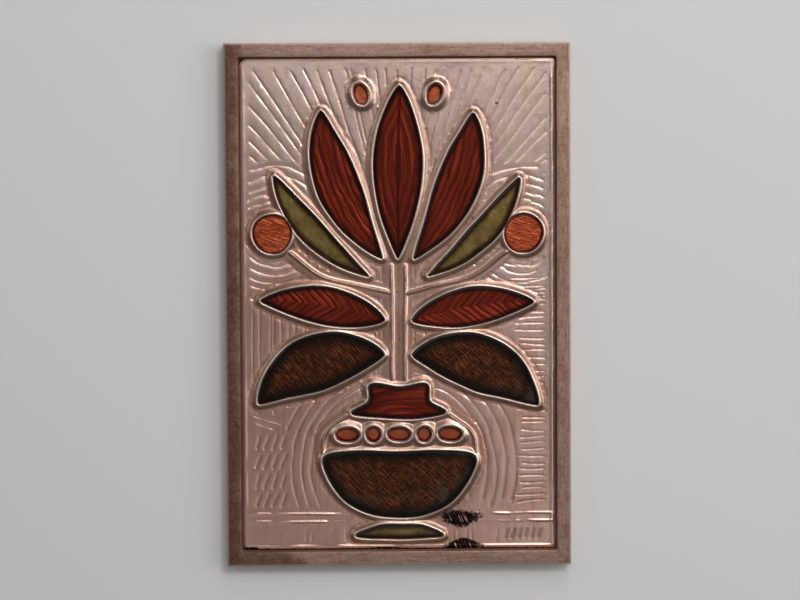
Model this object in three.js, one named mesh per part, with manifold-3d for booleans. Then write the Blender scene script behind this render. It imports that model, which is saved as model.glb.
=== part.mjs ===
// Framed relief plaque: a silver panel worked with a footed vase of flowers, its cells filled with coloured enamel,
// set in a one-piece metal tray frame. Millimetres, +Z up: the plaque lies on its back and +Y is the picture's top.
// The origin is the middle of the underside.
import * as THREE from "three";
import { mergeVertices } from "three/addons/utils/BufferGeometryUtils.js";
import Module from "manifold-3d";

const wasm = await Module();
wasm.setup();

// Frame: a flat-faced tray with sharp outer corners
const FRAME_WIDTH = 99;
const FRAME_LENGTH = 150;
const FRAME_THICKNESS = 5;
const FACE_WIDTH = 4;
const TRAY_FLOOR = 1.2;
const TRAY_CORNER = 0.6;
const FRAME_CHAMFER = 0.25;

// Panel: the silver relief, which lies on the tray's floor with a groove all round
const GROOVE = 0.5;
const PANEL_WIDTH = FRAME_WIDTH - 2 * (FACE_WIDTH + GROOVE);
const PANEL_LENGTH = FRAME_LENGTH - 2 * (FACE_WIDTH + GROOVE);
const PANEL_CORNER = { left: 2.1, right: 0.9 };
const LEAST_CORNER = 0.3;
const GROUND = 3.6;
const ROLLED_EDGE = [
  { inset: 0, rise: 0.1 },
  { inset: 0.4, rise: 0.3 },
  { inset: 1, rise: 0.3 },
  { inset: 1.5, rise: 0 },
];

// Walls round the cells: distances from the enamel's outline, heights from the panel's ground
const WALL = { foot: 1.55, crestOuter: 0.95, crestInner: 0.35, height: 0.9 };
const POOL_WALL = { foot: 1.75, crestOuter: 1.05, crestInner: 0.4, height: 1.05 };
const CELL_DEPTH = 0.5;
const ENAMEL_RISE = 0.25;
const ENAMEL_GAP = 0.1;
const OVERLAP = 0.3;

// Open ridges, by half their width at the foot
const STEM_RIDGE = { halfWidth: 0.8, crestShare: 0.35, height: 0.75 };
const LINE_RIDGE = { halfWidth: 0.5, crestShare: 0.35, height: 0.35 };

const LEAF_STEPS = 13;
const SPLINE_STEPS = 4;
const POOL_STEPS = 14;
const FRUIT_STEPS = 24;

// The pairs of leaves and petals, given for the right-hand side, root and tip as x, y
const LEAF_PAIRS = [
  { name: "leaf_low", enamel: "dark", root: [4.2, -14.5], tip: [40.4, -28], width: 15.5, bend: 10, peak: 0.48 },
  { name: "leaf_mid", enamel: "red", root: [4.2, -4.5], tip: [39.2, 1.5], width: 10.5, bend: 3, peak: 0.47 },
  { name: "sepal", enamel: "olive", root: [8.6, 8.4], tip: [35.5, 37], width: 7, bend: -6, peak: 0.54 },
  { name: "petal", enamel: "red", root: [4.6, 13.4], tip: [22, 55.5], width: 12, bend: -7.5, peak: 0.54 },
];
const MIDDLE_PETAL = { root: [0, 13.5], tip: [0.7, 62.5], width: 13.8, bend: 0.8, peak: 0.54 };
const LEAF_FULLNESS = 0.78;
const RIGHT_TIP_DRIFT = [-0.5, -0.9];

// Fruits on tendrils, and seeds beside the middle petal's tip
const FRUIT = { centre: [36, 20.5], radius: 5.5 };
const SEED = { centre: [10.6, 60.4], radii: [1.8, 2.7], tilt: -19 };
const TENDRIL = [
  [2.2, 3.4],
  [11, 5.6],
  [22, 8.4],
  [31, 15.2],
];
const STEM = { x: 1.9, bottom: -21.4, top: 11 };

// Half outlines of the vase, from the middle below to the middle above
const VASE_BELLY = [
  [0, -61.2],
  [8, -60.2],
  [15.5, -56.2],
  [20.5, -49.5],
  [21.3, -43.4],
  [11, -42.2],
  [0, -42.6],
];
const VASE_NECK = [
  [0, -32.6],
  [13.2, -31.2],
  [8.8, -27.8],
  [8, -22.9],
  [0, -23.8],
];
const VASE_FOOT = [
  [0, -67.4],
  [12.4, -66.7],
  [7, -63.9],
  [0, -63.5],
];
const VASE_SHOULDER = [
  [22.2, -42.6],
  [21, -36.8],
  [14.4, -31.6],
];
const BAND = { y: -37.2, spacing: 7.4, wide: [3.1, 1.8], round: [1.9, 1.9] };
const TABLE_LINES = [
  { y: -60.2, inner: 17 },
  { y: -62.4, inner: 13.6 },
];
const TABLE_OUTER = PANEL_WIDTH / 2 - 1.2;

const FINISHES = {
  frame: { color: 0x86705f, roughness: 0.5, metalness: 0.9 },
  silver: { color: 0xc8b6ad, roughness: 0.3, metalness: 1 },
  red: { color: 0x7a2012, roughness: 0.12, metalness: 0.2 },
  dark: { color: 0x2b1a10, roughness: 0.12, metalness: 0.2 },
  olive: { color: 0x6a5320, roughness: 0.12, metalness: 0.2 },
};

const flatPoint = ([x, y]) => new THREE.Vector3(x, y, 0);
const toSide = (side, [x, y]) => [side * x, y];
const atHeight = (outline, z) => outline.map((p) => new THREE.Vector3(p.x, p.y, z));

// A smooth closed outline through half of its points and their mirror images.
function mirroredOutline(half) {
  const other = half.slice(1, -1).reverse().map((p) => toSide(-1, p));
  const points = [...half, ...other].map(flatPoint);
  const curve = new THREE.CatmullRomCurve3(points, true, "catmullrom", 0.5);
  return curve.getPoints(points.length * SPLINE_STEPS).slice(0, -1);
}

function openLine(points) {
  const curve = new THREE.CatmullRomCurve3(points.map(flatPoint), false, "catmullrom", 0.5);
  return curve.getPoints((points.length - 1) * SPLINE_STEPS);
}

function ovalOutline({ centre, radii, tilt = 0, steps = POOL_STEPS }) {
  const turn = THREE.MathUtils.degToRad(tilt);
  const curve = new THREE.EllipseCurve(...centre, ...radii, 0, 2 * Math.PI, false, turn);
  return curve.getPoints(steps).slice(0, -1).map((p) => flatPoint([p.x, p.y]));
}

// A leaf: its sides stand off a bent vein, which is widest at the share peak of its length.
function leafOutline({ root, tip, width, bend, peak }) {
  const start = flatPoint(root);
  const end = flatPoint(tip);
  const across = new THREE.Vector3(start.y - end.y, end.x - start.x, 0).normalize();
  const control = start.clone().lerp(end, 0.5).addScaledVector(across, bend);
  const vein = new THREE.QuadraticBezierCurve3(start, control, end);
  const skew = Math.log(0.5) / Math.log(peak);
  const sideOf = (sign) =>
    Array.from({ length: LEAF_STEPS + 1 }, (_, i) => {
      const share = 0.5 - 0.5 * Math.cos((Math.PI * i) / LEAF_STEPS);
      const swell = Math.max(Math.sin(Math.PI * share ** skew), 0) ** LEAF_FULLNESS;
      const along = vein.getTangent(share);
      const out = new THREE.Vector3(-along.y, along.x, 0);
      return vein.getPoint(share).addScaledVector(out, (sign * swell * width) / 2);
    });
  return [...sideOf(-1), ...sideOf(1).slice(1, -1).reverse()];
}

// The outline moved outwards, each corner along the line that halves it.
function grown(outline, distance) {
  const count = outline.length;
  const rightOf = (from, to) => {
    const step = to.clone().sub(from).normalize();
    return new THREE.Vector3(step.y, -step.x, 0);
  };
  return outline.map((point, i) => {
    const first = rightOf(outline[(i + count - 1) % count], point);
    const second = rightOf(point, outline[(i + 1) % count]);
    const half = first.clone().add(second).normalize();
    return point.clone().addScaledVector(half, distance / half.dot(first));
  });
}

const flatCap = (loop) =>
  THREE.ShapeUtils.triangulateShape(loop.map((p) => new THREE.Vector2(p.x, p.y)), []);

const sectionCap = () => [
  [0, 1, 2],
  [0, 2, 3],
];

// A closed surface through a stack of loops with the same number of points, capped at both ends.
function skin(loops, capOf = flatCap) {
  const count = loops[0].length;
  const last = (loops.length - 1) * count;
  const faces = capOf(loops[0]).flatMap(([a, b, c]) => [a, c, b]);
  for (let layer = 0; layer < last; layer += count) {
    for (let i = 0; i < count; i++) {
      const [a, b] = [layer + i, layer + ((i + 1) % count)];
      faces.push(a, b, b + count, a, b + count, a + count);
    }
  }
  faces.push(...capOf(loops.at(-1)).flat().map((v) => v + last));
  const geometry = new THREE.BufferGeometry();
  const places = loops.flat().flatMap((p) => p.toArray());
  geometry.setAttribute("position", new THREE.Float32BufferAttribute(places, 3));
  geometry.setIndex(faces);
  return geometry;
}

function solid(geometry) {
  const merged = mergeVertices(geometry, 1e-4);
  const vertProperties = merged.attributes.position.array;
  const triVerts = new Uint32Array(merged.index.array);
  return new wasm.Manifold(new wasm.Mesh({ numProp: 3, vertProperties, triVerts }));
}

function geometryOf(manifold) {
  const mesh = manifold.getMesh();
  const geometry = new THREE.BufferGeometry();
  geometry.setAttribute("position", new THREE.BufferAttribute(mesh.vertProperties, 3));
  geometry.setIndex(new THREE.BufferAttribute(mesh.triVerts, 1));
  geometry.computeVertexNormals();
  return geometry;
}

// A rectangle with rounded corners, its left and right pairs with radii of their own.
function roundedRectangle(width, length, { left, right }) {
  const corners = [
    [1, 1, right],
    [-1, 1, left],
    [-1, -1, left],
    [1, -1, right],
  ];
  const steps = 4;
  return corners.flatMap(([sx, sy, radius], quarter) =>
    Array.from({ length: steps + 1 }, (_, i) => {
      const angle = ((quarter + i / steps) * Math.PI) / 2;
      const x = sx * (width / 2 - radius) + radius * Math.cos(angle);
      const y = sy * (length / 2 - radius) + radius * Math.sin(angle);
      return new THREE.Vector3(x, y, 0);
    }),
  );
}

function rectangle(width, length) {
  const [x, y] = [width / 2, length / 2];
  return [
    [x, y],
    [-x, y],
    [-x, -y],
    [x, -y],
  ].map(flatPoint);
}

function frameGeometry() {
  const top = FRAME_THICKNESS;
  const block = skin([
    atHeight(rectangle(FRAME_WIDTH, FRAME_LENGTH), 0),
    atHeight(rectangle(FRAME_WIDTH, FRAME_LENGTH), top - FRAME_CHAMFER),
    atHeight(rectangle(FRAME_WIDTH - 2 * FRAME_CHAMFER, FRAME_LENGTH - 2 * FRAME_CHAMFER), top),
  ]);
  const trayLoop = (widening, z) => {
    const radius = TRAY_CORNER + widening;
    const inner = roundedRectangle(
      FRAME_WIDTH - 2 * (FACE_WIDTH - widening),
      FRAME_LENGTH - 2 * (FACE_WIDTH - widening),
      { left: radius, right: radius },
    );
    return atHeight(inner, z);
  };
  const tray = skin([
    trayLoop(0, TRAY_FLOOR),
    trayLoop(0, top - FRAME_CHAMFER),
    trayLoop(FRAME_CHAMFER + OVERLAP, top + OVERLAP),
  ]);
  return geometryOf(solid(block).subtract(solid(tray)));
}

// The plate of the panel with its rolled edge, before any wall or cell.
function plateSolid() {
  const loopAt = (inset, z) => {
    const corner = {
      left: Math.max(PANEL_CORNER.left - inset, LEAST_CORNER),
      right: Math.max(PANEL_CORNER.right - inset, LEAST_CORNER),
    };
    const outline = roundedRectangle(PANEL_WIDTH - 2 * inset, PANEL_LENGTH - 2 * inset, corner);
    return atHeight(outline, z);
  };
  const rim = ROLLED_EDGE.map(({ inset, rise }) => loopAt(inset, GROUND + rise));
  return solid(skin([loopAt(0, TRAY_FLOOR), ...rim]));
}

// The bank round a cell, before its hollow is cut.
function bankSolid({ outline, wall }) {
  return solid(
    skin([
      atHeight(grown(outline, wall.foot), GROUND - OVERLAP),
      atHeight(grown(outline, wall.foot), GROUND),
      atHeight(grown(outline, wall.crestOuter), GROUND + wall.height),
    ]),
  );
}

// The hollow of a cell: upright as high as the enamel, then opening to the crest of its wall.
function hollowSolid({ outline, wall }) {
  const slope = wall.crestInner / (wall.height - ENAMEL_RISE);
  return solid(
    skin([
      atHeight(outline, GROUND - CELL_DEPTH),
      atHeight(outline, GROUND + ENAMEL_RISE),
      atHeight(grown(outline, wall.crestInner + slope * OVERLAP), GROUND + wall.height + OVERLAP),
    ]),
  );
}

function enamelGeometry({ outline }) {
  const edge = grown(outline, -ENAMEL_GAP);
  return skin([atHeight(edge, GROUND - CELL_DEPTH), atHeight(edge, GROUND + ENAMEL_RISE)]);
}

// A low flat-topped ridge along an open line.
function ridgeSolid(line, { halfWidth, crestShare, height }) {
  const sections = line.map((point, i) => {
    const before = line[Math.max(i - 1, 0)];
    const after = line[Math.min(i + 1, line.length - 1)];
    const along = after.clone().sub(before).normalize();
    const across = new THREE.Vector3(along.y, -along.x, 0);
    const corner = (share, z) => point.clone().addScaledVector(across, share * halfWidth).setZ(z);
    return [
      corner(-1, GROUND - OVERLAP),
      corner(-crestShare, GROUND + height),
      corner(crestShare, GROUND + height),
      corner(1, GROUND - OVERLAP),
    ];
  });
  return solid(skin(sections, sectionCap));
}

function vaseCells() {
  const vase = [
    { name: "vase_belly", enamel: "dark", outline: mirroredOutline(VASE_BELLY), wall: WALL },
    { name: "vase_neck", enamel: "red", outline: mirroredOutline(VASE_NECK), wall: WALL },
    { name: "vase_foot", enamel: "olive", outline: mirroredOutline(VASE_FOOT), wall: WALL },
  ];
  const band = [-2, -1, 0, 1, 2].map((place, i) => ({
    name: `vase_band_${i + 1}`,
    enamel: "red",
    outline: ovalOutline({
      centre: [place * BAND.spacing, BAND.y],
      radii: place % 2 ? BAND.round : BAND.wide,
    }),
    wall: POOL_WALL,
  }));
  return [...vase, ...band];
}

function sideCells(sideName, side) {
  const drift = side > 0 ? RIGHT_TIP_DRIFT : [0, 0];
  const leaves = LEAF_PAIRS.map(({ name, enamel, root, tip, width, bend, peak }) => ({
    name: `${name}_${sideName}`,
    enamel,
    outline: leafOutline({
      root: toSide(side, root),
      tip: toSide(side, [tip[0] + drift[0], tip[1] + drift[1]]),
      width,
      bend: side * bend,
      peak,
    }),
    wall: WALL,
  }));
  const fruit = {
    name: `fruit_${sideName}`,
    enamel: "red",
    outline: ovalOutline({
      centre: toSide(side, FRUIT.centre),
      radii: [FRUIT.radius, FRUIT.radius],
      steps: FRUIT_STEPS,
    }),
    wall: WALL,
  };
  const seed = {
    name: `seed_${sideName}`,
    enamel: "red",
    outline: ovalOutline({
      centre: toSide(side, SEED.centre),
      radii: SEED.radii,
      tilt: side * SEED.tilt,
    }),
    wall: POOL_WALL,
  };
  return [...leaves, fruit, seed];
}

function openRidges(side) {
  const mirroredLine = (points) => openLine(points.map((p) => toSide(side, p)));
  const stem = mirroredLine([
    [STEM.x, STEM.bottom],
    [STEM.x, STEM.top],
  ]);
  const table = TABLE_LINES.map(({ y, inner }) =>
    mirroredLine([
      [inner, y],
      [TABLE_OUTER, y],
    ]),
  );
  return [
    ridgeSolid(stem, STEM_RIDGE),
    ridgeSolid(mirroredLine(TENDRIL), STEM_RIDGE),
    ridgeSolid(mirroredLine(VASE_SHOULDER), STEM_RIDGE),
    ...table.map((line) => ridgeSolid(line, LINE_RIDGE)),
  ];
}

function panelGeometry(cells) {
  const raised = [...cells.map(bankSolid), ...openRidges(-1), ...openRidges(1)];
  const worked = raised.reduce((panel, piece) => panel.add(piece), plateSolid());
  return geometryOf(cells.reduce((panel, cell) => panel.subtract(hollowSolid(cell)), worked));
}

const plaque = new THREE.Group();

function addPiece(name, geometry, finish) {
  const piece = new THREE.Mesh(geometry, new THREE.MeshStandardMaterial(FINISHES[finish]));
  piece.name = name;
  plaque.add(piece);
}

const cells = [
  ...vaseCells(),
  { name: "petal_middle", enamel: "red", outline: leafOutline(MIDDLE_PETAL), wall: WALL },
  ...sideCells("left", -1),
  ...sideCells("right", 1),
];

addPiece("frame", frameGeometry(), "frame");
addPiece("panel", panelGeometry(cells), "silver");
for (const cell of cells) {
  addPiece(`enamel_${cell.name}`, enamelGeometry(cell), cell.enamel);
}

export default plaque;
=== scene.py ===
"""The looks of a framed silver relief plaque whose cells hold coloured enamel.

Sizes are in millimetres and turn into metres as each mesh is made. The plaque lies on its back: +X is the
picture's right, +Y its top and +Z points out of its face.
"""
import logging
import math
from dataclasses import dataclass, field
from enum import Enum
from typing import Any, Callable, Iterable, Optional, Sequence

import bpy
import numpy as np
from mathutils import Matrix, Vector, geometry, noise


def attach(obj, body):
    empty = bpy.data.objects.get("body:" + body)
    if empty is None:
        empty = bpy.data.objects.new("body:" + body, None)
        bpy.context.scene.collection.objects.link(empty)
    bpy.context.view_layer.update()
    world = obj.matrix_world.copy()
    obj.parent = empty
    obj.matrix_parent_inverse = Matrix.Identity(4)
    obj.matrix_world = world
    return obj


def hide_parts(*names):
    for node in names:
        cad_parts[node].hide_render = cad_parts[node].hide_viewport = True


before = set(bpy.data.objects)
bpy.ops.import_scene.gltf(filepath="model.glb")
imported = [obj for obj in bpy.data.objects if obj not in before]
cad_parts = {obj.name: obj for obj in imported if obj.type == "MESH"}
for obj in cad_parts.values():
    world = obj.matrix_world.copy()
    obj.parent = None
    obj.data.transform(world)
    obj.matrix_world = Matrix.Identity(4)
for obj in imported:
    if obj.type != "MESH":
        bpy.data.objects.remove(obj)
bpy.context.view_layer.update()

LOG = logging.getLogger("plaque")
MM = 0.001
SEED = 11

Point = tuple[float, float]
Position = tuple[float, float, float]
Colour = tuple[float, float, float]
Nearest = tuple[np.ndarray, np.ndarray, np.ndarray]

# Heights over the plaque's underside, and how far a cell's floor lies under the ground, as in the CAD model
GROUND = 3.6
TRAY_FLOOR = 1.2
FRAME_TOP = 5.0
CELL_DEPTH = 0.5

# How many steps draw an oval, and the layers of noise that move a hand-drawn line across and along
OVAL_STEPS = 48
WAVER_LAYERS = (3.7, 8.2)

# What a triangulation keeps, the triangles inside a border, and how close points are merged in it
INSIDE_BORDER = 1
NEARLY_SAME = 1e-5


class Enamel(Enum):
    """The colours of enamel, by the name of their material slot."""

    RED = "enamel_red"
    DARK = "enamel_dark"
    OLIVE = "enamel_olive"


class Engraving(Enum):
    """How the metal under an enamel is worked."""

    LENGTHWISE = "ribs along the cell"
    CONTOUR = "ribs that follow the cell's edge"
    FEATHER = "ribs slanting off the middle line"
    RINGS = "ribs round a point"
    CROSSHATCH = "two fields of crossing scratches"
    SCRATCHED = "scratches mostly one way"
    CLOUDED = "smooth, with pale and dark clouds"


class Socket:
    """One output of a node, with the arithmetic that shader and geometry trees share."""

    def __init__(self, tree: "Tree", socket: bpy.types.NodeSocket) -> None:
        """Wraps a socket of a tree."""
        self.tree = tree
        self.socket = socket

    def __add__(self, other: Any) -> "Socket":
        """The sum."""
        return self.tree.math("ADD", self, other)

    def __radd__(self, other: Any) -> "Socket":
        """The sum, from the right."""
        return self.tree.math("ADD", other, self)

    def __sub__(self, other: Any) -> "Socket":
        """The difference."""
        return self.tree.math("SUBTRACT", self, other)

    def __rsub__(self, other: Any) -> "Socket":
        """The difference, from the right."""
        return self.tree.math("SUBTRACT", other, self)

    def __mul__(self, other: Any) -> "Socket":
        """The product."""
        return self.tree.math("MULTIPLY", self, other)

    def __rmul__(self, other: Any) -> "Socket":
        """The product, from the right."""
        return self.tree.math("MULTIPLY", other, self)

    def __truediv__(self, other: Any) -> "Socket":
        """The quotient."""
        return self.tree.math("DIVIDE", self, other)

    def __neg__(self) -> "Socket":
        """The opposite value."""
        return self.tree.math("MULTIPLY", self, -1.0)

    def __abs__(self) -> "Socket":
        """The value without its sign."""
        return self.tree.math("ABSOLUTE", self)


class Tree:
    """A node tree under construction."""

    # Where a Mix node keeps its two colours and its mixed colour
    MIX_FIRST, MIX_SECOND, MIX_RESULT = 6, 7, 2

    def __init__(self, tree: bpy.types.NodeTree) -> None:
        """Wraps an empty shader or geometry tree."""
        self.tree = tree

    def node(self, kind: str, settings: Optional[dict] = None,
             inputs: Optional[dict] = None) -> bpy.types.Node:
        """Adds a node, sets it up and then fills its sockets.

        Args:
            kind: the node's type, such as "ShaderNodeMath".
            settings: values of the node's own properties.
            inputs: values or links by the socket's name or index.

        Returns:
            The new node.
        """
        made = self.tree.nodes.new(kind)
        for name, value in (settings or {}).items():
            setattr(made, name, value)
        for name, value in (inputs or {}).items():
            target = made.inputs[name]
            if isinstance(value, Socket):
                self.tree.links.new(value.socket, target)
            else:
                target.default_value = value
        return made

    def out(self, kind: str, settings: Optional[dict] = None, inputs: Optional[dict] = None,
            output: Any = 0) -> Socket:
        """Adds a node as node() does, and returns one of its outputs."""
        return Socket(self, self.node(kind, settings, inputs).outputs[output])

    def math(self, operation: str, *values: Any, clamp: bool = False) -> Socket:
        """Adds a Math node on numbers or sockets."""
        settings = {"operation": operation, "use_clamp": clamp}
        return self.out("ShaderNodeMath", settings, dict(enumerate(values)))

    def clamp(self, value: Any) -> Socket:
        """The value held between 0 and 1."""
        return self.math("ADD", value, 0.0, clamp=True)

    def ramp(self, value: Any, low: float, high: float) -> Socket:
        """A smooth step from 0 at low to 1 at high; low may be the greater."""
        settings = {"interpolation_type": "SMOOTHSTEP", "clamp": True}
        if low > high:
            return 1.0 - self.ramp(value, high, low)
        inputs = {0: value, 1: low, 2: high, 3: 0.0, 4: 1.0}
        return self.out("ShaderNodeMapRange", settings, inputs)

    def bell(self, distance: Any, centre: Any, spread: Any) -> Socket:
        """A bell curve of a distance, 1 at its centre."""
        share = (distance - centre) / spread
        return self.math("EXPONENT", -(share * share))

    def vector(self, operation: str, first: Any, second: Any) -> Socket:
        """Adds a Vector Math node on two vectors."""
        return self.out("ShaderNodeVectorMath", {"operation": operation}, {0: first, 1: second})

    def scaled(self, vector: Any, factor: float) -> Socket:
        """A vector times a number."""
        return self.out("ShaderNodeVectorMath", {"operation": "SCALE"}, {0: vector, "Scale": factor})

    def split(self, vector: Any) -> tuple[Socket, Socket, Socket]:
        """The three parts of a vector."""
        node = self.node("ShaderNodeSeparateXYZ", {}, {0: vector})
        return tuple(Socket(self, output) for output in node.outputs)

    def joined(self, x: Any, y: Any, z: Any = 0.0) -> Socket:
        """A vector from its parts."""
        return self.out("ShaderNodeCombineXYZ", {}, {0: x, 1: y, 2: z})

    def noise(self, vector: Any, scale: float, detail: float = 2.0, roughness: float = 0.5) -> Socket:
        """Noise between 0 and 1, around 0.5."""
        inputs = {"Vector": vector, "Scale": scale, "Detail": detail, "Roughness": roughness}
        return self.out("ShaderNodeTexNoise", {}, inputs)

    def mixed(self, factor: Any, first: Any, second: Any) -> Socket:
        """A mix of two colours, each a socket or three numbers."""
        settings = {"data_type": "RGBA", "clamp_factor": True}
        inputs = {0: factor}
        for index, colour in ((self.MIX_FIRST, first), (self.MIX_SECOND, second)):
            inputs[index] = colour if isinstance(colour, Socket) else (*colour, 1.0)
        return self.out("ShaderNodeMix", settings, inputs, self.MIX_RESULT)


def catmull_rom(points: Sequence[Point], steps: int, closed: bool) -> np.ndarray:
    """A smooth line through points, with the same number of steps between any two.

    Args:
        points: the points that the line passes.
        steps: how many steps join two of them.
        closed: whether the line returns to its start.

    Returns:
        The line's points, one a row.
    """
    given = np.array(points, float)
    if closed:
        padded = np.vstack([given[-1:], given, given[:2]])
    else:
        padded = np.vstack([2 * given[0] - given[1], given, 2 * given[-1] - given[-2]])
    share = np.arange(steps)[:, None] / steps
    spans = []
    for before, start, end, after in zip(padded, padded[1:], padded[2:], padded[3:]):
        leave, arrive = 0.5 * (end - before), 0.5 * (after - start)
        cubic = 2 * start - 2 * end + leave + arrive
        square = -3 * start + 3 * end - 2 * leave - arrive
        spans.append(cubic * share**3 + square * share**2 + leave * share + start)
    if not closed:
        spans.append(given[-1:])
    return np.vstack(spans)


def resampled(line: np.ndarray, step: float, closed: bool) -> np.ndarray:
    """A line with its points spread evenly, about a step apart."""
    loop = np.vstack([line, line[:1]]) if closed else line
    lengths = np.concatenate([[0], np.cumsum(np.linalg.norm(np.diff(loop, axis=0), axis=1))])
    count = max(int(round(lengths[-1] / step)), 2)
    places = np.linspace(0, lengths[-1], count + 1)
    spread = np.stack([np.interp(places, lengths, loop[:, axis]) for axis in (0, 1)], axis=1)
    return spread[:-1] if closed else spread


def normals_of(outline: np.ndarray) -> np.ndarray:
    """The outward unit normals of a closed anticlockwise outline."""
    along = np.roll(outline, -1, axis=0) - np.roll(outline, 1, axis=0)
    along /= np.linalg.norm(along, axis=1)[:, None]
    return np.stack([along[:, 1], -along[:, 0]], axis=1)


def nearest_on(points: np.ndarray, line: np.ndarray, closed: bool) -> Nearest:
    """Where points lie against a line.

    Args:
        points: the points, one a row.
        line: the line's points.
        closed: whether the line returns to its start.

    Returns:
        For each point its distance to the line, its place along the line, and its side, 1 left or -1 right.
    """
    starts = line if closed else line[:-1]
    ends = np.roll(line, -1, axis=0) if closed else line[1:]
    spans = ends - starts
    lengths = np.linalg.norm(spans, axis=1)
    before = np.concatenate([[0], np.cumsum(lengths)[:-1]])
    away = points[:, None] - starts[None]
    share = np.clip((away * spans).sum(2) / lengths**2, 0, 1)
    gap = np.linalg.norm(away - share[..., None] * spans, axis=2)
    best = gap.argmin(1)
    rows = np.arange(len(points))
    cross = spans[best, 0] * away[rows, best, 1] - spans[best, 1] * away[rows, best, 0]
    return gap[rows, best], before[best] + share[rows, best] * lengths[best], np.where(cross < 0, -1.0, 1.0)


def by_hand(line: np.ndarray, amount: float, reach: float = 9.0) -> np.ndarray:
    """A line with the slow waver of handwork.

    Args:
        line: the line's points.
        amount: how far a point may stray.
        reach: the length over which the waver turns.

    Returns:
        The line's new points.
    """
    strays = [
        [noise.noise(Vector((x / reach, y / reach, layer))) for layer in WAVER_LAYERS]
        for x, y in line
    ]
    return line + amount * np.array(strays)


def make_mesh(name: str, points: np.ndarray, faces: Iterable, edges: Iterable = ()) -> bpy.types.Mesh:
    """A mesh from points in millimetres, kept in millimetres."""
    mesh = bpy.data.meshes.new(name)
    mesh.from_pydata([tuple(p) for p in points], list(edges), [tuple(f) for f in faces])
    mesh.update()
    return mesh


def note(mesh: bpy.types.Mesh, name: str, values: np.ndarray) -> None:
    """Keeps a value at each point of a mesh, for a finish or a tree to read."""
    mesh.attributes.new(name, "FLOAT", "POINT").data.foreach_set("value", values.astype(np.float32))


def shade(mesh: bpy.types.Mesh, sharp_angle: float) -> None:
    """Shades a mesh smooth, apart from edges that bend by more than an angle in degrees."""
    mesh.shade_smooth()
    mesh.set_sharp_from_angle(angle=math.radians(sharp_angle))


def place(name: str, mesh: bpy.types.Mesh) -> bpy.types.Object:
    """Puts a mesh into the scene as an object at the origin."""
    thing = bpy.data.objects.new(name, mesh)
    bpy.context.scene.collection.objects.link(thing)
    return thing


def lines_object(name: str, lines: Sequence[np.ndarray], closed: bool) -> bpy.types.Object:
    """An object whose edges are the given flat lines, to measure distances from."""
    points, edges = [], []
    for line in lines:
        first = len(points)
        count = len(line)
        points.extend((x, y, 0.0) for x, y in line)
        edges.extend((first + i, first + (i + 1) % count) for i in range(count if closed else count - 1))
    return place(name, make_mesh(name, points, [], edges))


def dress(piece: bpy.types.Object, material: bpy.types.Material, nodes: Sequence[str]) -> None:
    """Gives a finished piece its material, its body and the CAD nodes it stands for."""
    piece.data.materials.clear()
    piece.data.materials.append(material)
    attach(piece, "root")
    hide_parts(*nodes)
    faces = sum(len(p.vertices) - 2 for p in piece.data.polygons)
    LOG.info("%s: %d triangles, in the place of %s", piece.name, faces, ", ".join(nodes))


@dataclass
class Cell:
    """One enamelled cell: its outline, and how the metal in it is worked."""

    node: str
    enamel: Enamel
    engraving: Engraving
    outline: np.ndarray
    middle: np.ndarray
    pool: bool = False
    eye: Point = (0.0, 0.0)


@dataclass
class Leaf:
    """A leaf or petal of the right-hand side, as in the CAD model."""

    name: str
    enamel: Enamel
    engraving: Engraving
    root: Point
    tip: Point
    width: float
    bend: float
    peak: float
    fullness: float = 0.78
    steps: int = 60

    def cell(self, side: int, suffix: str, drift: Point = (0.0, 0.0)) -> Cell:
        """The leaf's cell on one side of the stem.

        Args:
            side: 1 for the right or -1 for the left.
            suffix: the end of the CAD node's name.
            drift: how far the tip strays from the leaf's own.

        Returns:
            The cell, with the leaf's vein as its middle line.
        """
        start = np.array([side * self.root[0], self.root[1]])
        end = np.array([side * (self.tip[0] + drift[0]), self.tip[1] + drift[1]])
        span = end - start
        across = np.array([-span[1], span[0]]) / np.linalg.norm(span)
        control = (start + end) / 2 + across * side * self.bend
        share = (0.5 - 0.5 * np.cos(np.pi * np.linspace(0, 1, self.steps + 1)))[:, None]
        vein = (1 - share) ** 2 * start + 2 * share * (1 - share) * control + share**2 * end
        along = 2 * (1 - share) * (control - start) + 2 * share * (end - control)
        along /= np.linalg.norm(along, axis=1)[:, None]
        out = np.stack([-along[:, 1], along[:, 0]], axis=1)
        skew = math.log(0.5) / math.log(self.peak)
        half = self.width / 2 * np.sin(np.pi * share**skew).clip(0) ** self.fullness
        outline = np.vstack([vein - out * half, (vein + out * half)[-2:0:-1]])
        name = f"enamel_{self.name}{suffix}"
        return Cell(name, self.enamel, self.engraving, outline, vein)


def oval_cell(name: str, centre: Point, radii: Point, tilt: float, engraving: Engraving,
              pool: bool) -> Cell:
    """A round or oval cell of red enamel.

    Args:
        name: the end of the CAD node's name.
        centre: its middle.
        radii: half its width and half its length.
        tilt: its turn in degrees, anticlockwise.
        engraving: how its floor is worked.
        pool: whether it has the fat rim of a small pool.

    Returns:
        The cell.
    """
    turn = np.linspace(0, 2 * np.pi, OVAL_STEPS + 1)[:-1]
    flat = np.stack([radii[0] * np.cos(turn), radii[1] * np.sin(turn)], axis=1)
    lean = math.radians(tilt)
    spin = np.array([[math.cos(lean), math.sin(lean)], [-math.sin(lean), math.cos(lean)]])
    axis = np.array([[0, -radii[1]], [0, radii[1]]]) @ spin + np.array(centre)
    return Cell(f"enamel_{name}", Enamel.RED, engraving, flat @ spin + np.array(centre), axis, pool)


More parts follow.
